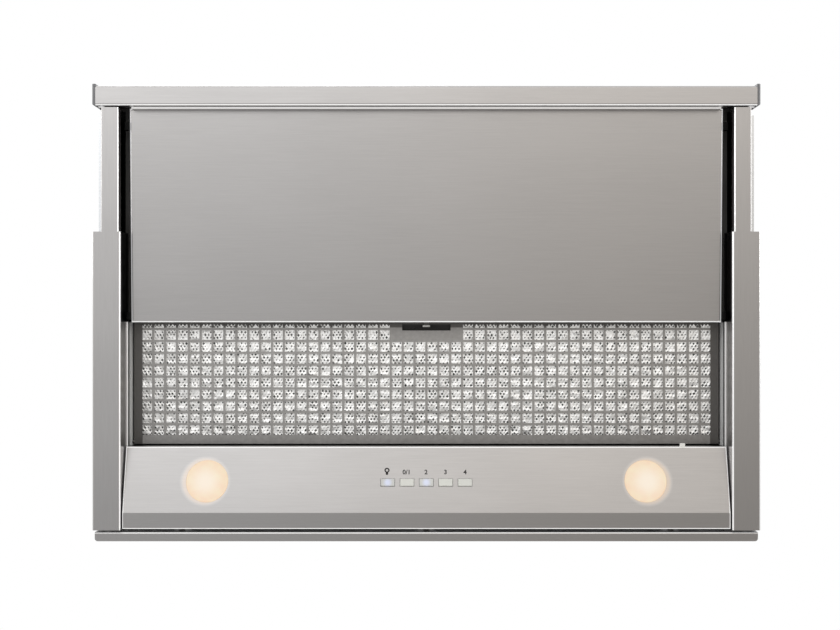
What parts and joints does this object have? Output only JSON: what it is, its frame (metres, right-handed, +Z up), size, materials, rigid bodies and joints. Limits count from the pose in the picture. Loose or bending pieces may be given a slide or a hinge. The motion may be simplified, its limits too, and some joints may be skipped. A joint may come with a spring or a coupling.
{
  "type": "telescopic range hood",
  "caption": "Built-in telescopic kitchen hood with a pull-out panel, swing-down grease filter, push buttons, two lamps, and a fan under a round duct spigot.",
  "frame": {"origin": "centre of the bounding box on the underside, slide pulled out", "axes": "+X to the right as seen by the cook, +Y to the wall, +Z up"},
  "size_m": [0.598, 0.4094, 0.4],
  "materials": {
    "brushed stainless steel": "brushed along the width",
    "galvanised sheet": "zinc coated, faint spangle",
    "black coated sheet": "satin black coating",
    "filter aluminium": "bright rolled sheet",
    "expanded aluminium mesh": "bright crinkled layers",
    "zinc plated steel": "bright zinc plating",
    "spring steel": "drawn wire and strip",
    "bearing steel and cage": "polished balls in a steel cage",
    "dark grey plastic": "fine moulded texture",
    "black plastic": "satin moulding",
    "white plastic": "satin moulding",
    "clear white plastic": "translucent, lit from behind",
    "frosted lens": "frosted, lit",
    "lamp module": "white housing",
    "circuit board": "green laminate",
    "switch plastic": "black moulding",
    "motor can": "grey cast and pressed housing",
    "rotor iron": "laminated iron",
    "magnet": "sintered",
    "capacitor can": "moulded can",
    "wire sleeve": "grey sleeving"
  },
  "bodies": {
    "root": {"side_profile_left": "brushed stainless steel", "side_profile_right": "brushed stainless steel", "deck": "galvanised sheet", "plenum_sides": "galvanised sheet", "front_rail": "galvanised sheet", "latch_strike": "spring steel", "control_panel": "brushed stainless steel", "button_switches": "switch plastic", "button_springs": "spring steel", "control_board": "circuit board", "control_box": "dark grey plastic", "lamp_lenses": "frosted lens", "lamp_modules": "lamp module", "panel_clip": "white plastic", "guide_channels": "zinc plated steel", "reed_switch": "black plastic", "rear_strip": "brushed stainless steel", "housing_shell": "galvanised sheet", "housing_top": "galvanised sheet", "duct_spigot": "black plastic", "flap_pin": "zinc plated steel", "scroll_half_right": "black plastic", "scroll_half_left": "black plastic", "motor_housing": "motor can", "motor_bracket": "galvanised sheet", "capacitor": "capacitor can", "terminal_box": "black plastic", "terminal_lid": "black plastic", "cable_gland": "black plastic", "wiring_loom": "wire sleeve", "mounting_brackets": "galvanised sheet", "body_screws": "zinc plated steel"},
    "slide": {"front_bar": "brushed stainless steel", "end_cap_left": "dark grey plastic", "end_cap_right": "dark grey plastic", "slide_rail_left": "brushed stainless steel", "slide_rail_right": "brushed stainless steel", "slide_panel": "brushed stainless steel", "slide_cover": "black coated sheet", "slide_rivets": "zinc plated steel", "slide_glides": "black plastic", "slide_magnet": "magnet", "guide_runners": "zinc plated steel"},
    "ball_cages": {"ball_cages": "bearing steel and cage"},
    "filter": {"filter_frame": "filter aluminium", "filter_mesh": "expanded aluminium mesh", "filter_back": "filter aluminium", "latch_cup": "dark grey plastic", "latch_spring": "spring steel"},
    "filter_latch": {"latch_slider": "white plastic"},
    "fan": {"impeller": "galvanised sheet", "motor_shaft": "zinc plated steel", "motor_rotor": "rotor iron"},
    "front_flap": {"flap_front": "black plastic"},
    "rear_flap": {"flap_rear": "black plastic"},
    "button_1": {"button_1": "clear white plastic"},
    "button_2": {"button_2": "clear white plastic"},
    "button_3": {"button_3": "clear white plastic"},
    "button_4": {"button_4": "clear white plastic"},
    "button_5": {"button_5": "clear white plastic"}
  },
  "joints": [
    {"name": "slide_out", "type": "slide", "parent": "root", "child": "slide", "axis": [0, -1, 0], "range_m": [-0.112, 0]},
    {"name": "ball_cage_travel", "type": "slide", "parent": "root", "child": "ball_cages", "axis": [0, -1, 0], "range_m": [-0.056, 0]},
    {"name": "filter_swing", "type": "hinge", "parent": "root", "child": "filter", "pos_m": [0, 0.1192, 0.0426], "axis": [1, 0, 0], "range_deg": [0, 70], "deforming": ["latch_strike"]},
    {"name": "filter_latch_slide", "type": "slide", "parent": "filter", "child": "filter_latch", "axis": [0, 1, 0], "range_m": [0, 0.0027], "stiffness_N_per_m": 400, "springref_m": -0.001, "deforming": ["latch_spring"]},
    {"name": "fan_spin", "type": "hinge", "parent": "root", "child": "fan", "pos_m": [0, 0.067, 0.205], "axis": [1, 0, 0], "continuous": true},
    {"name": "front_flap_swing", "type": "hinge", "parent": "root", "child": "front_flap", "pos_m": [0, 0.11, 0.372], "axis": [-1, 0, 0], "range_deg": [0, 75]},
    {"name": "rear_flap_swing", "type": "hinge", "parent": "root", "child": "rear_flap", "pos_m": [0, 0.11, 0.372], "axis": [1, 0, 0], "range_deg": [0, 75]},
    {"name": "button_1_press", "type": "slide", "parent": "root", "child": "button_1", "axis": [0, 0.2672, 0.9636], "range_m": [0, 0.0012], "stiffness_N_per_m": 600, "springref_m": -0.001, "deforming": ["button_springs"]},
    {"name": "button_2_press", "type": "slide", "parent": "root", "child": "button_2", "axis": [0, 0.2672, 0.9636], "range_m": [0, 0.0012], "stiffness_N_per_m": 600, "springref_m": -0.001},
    {"name": "button_3_press", "type": "slide", "parent": "root", "child": "button_3", "axis": [0, 0.2672, 0.9636], "range_m": [0, 0.0012], "stiffness_N_per_m": 600, "springref_m": -0.001},
    {"name": "button_4_press", "type": "slide", "parent": "root", "child": "button_4", "axis": [0, 0.2672, 0.9636], "range_m": [0, 0.0012], "stiffness_N_per_m": 600, "springref_m": -0.001},
    {"name": "button_5_press", "type": "slide", "parent": "root", "child": "button_5", "axis": [0, 0.2672, 0.9636], "range_m": [0, 0.0012], "stiffness_N_per_m": 600, "springref_m": -0.001}
  ],
  "couplings": [
    {"joint": "ball_cage_travel", "follows": "slide_out", "ratio": 0.5}
  ]
}
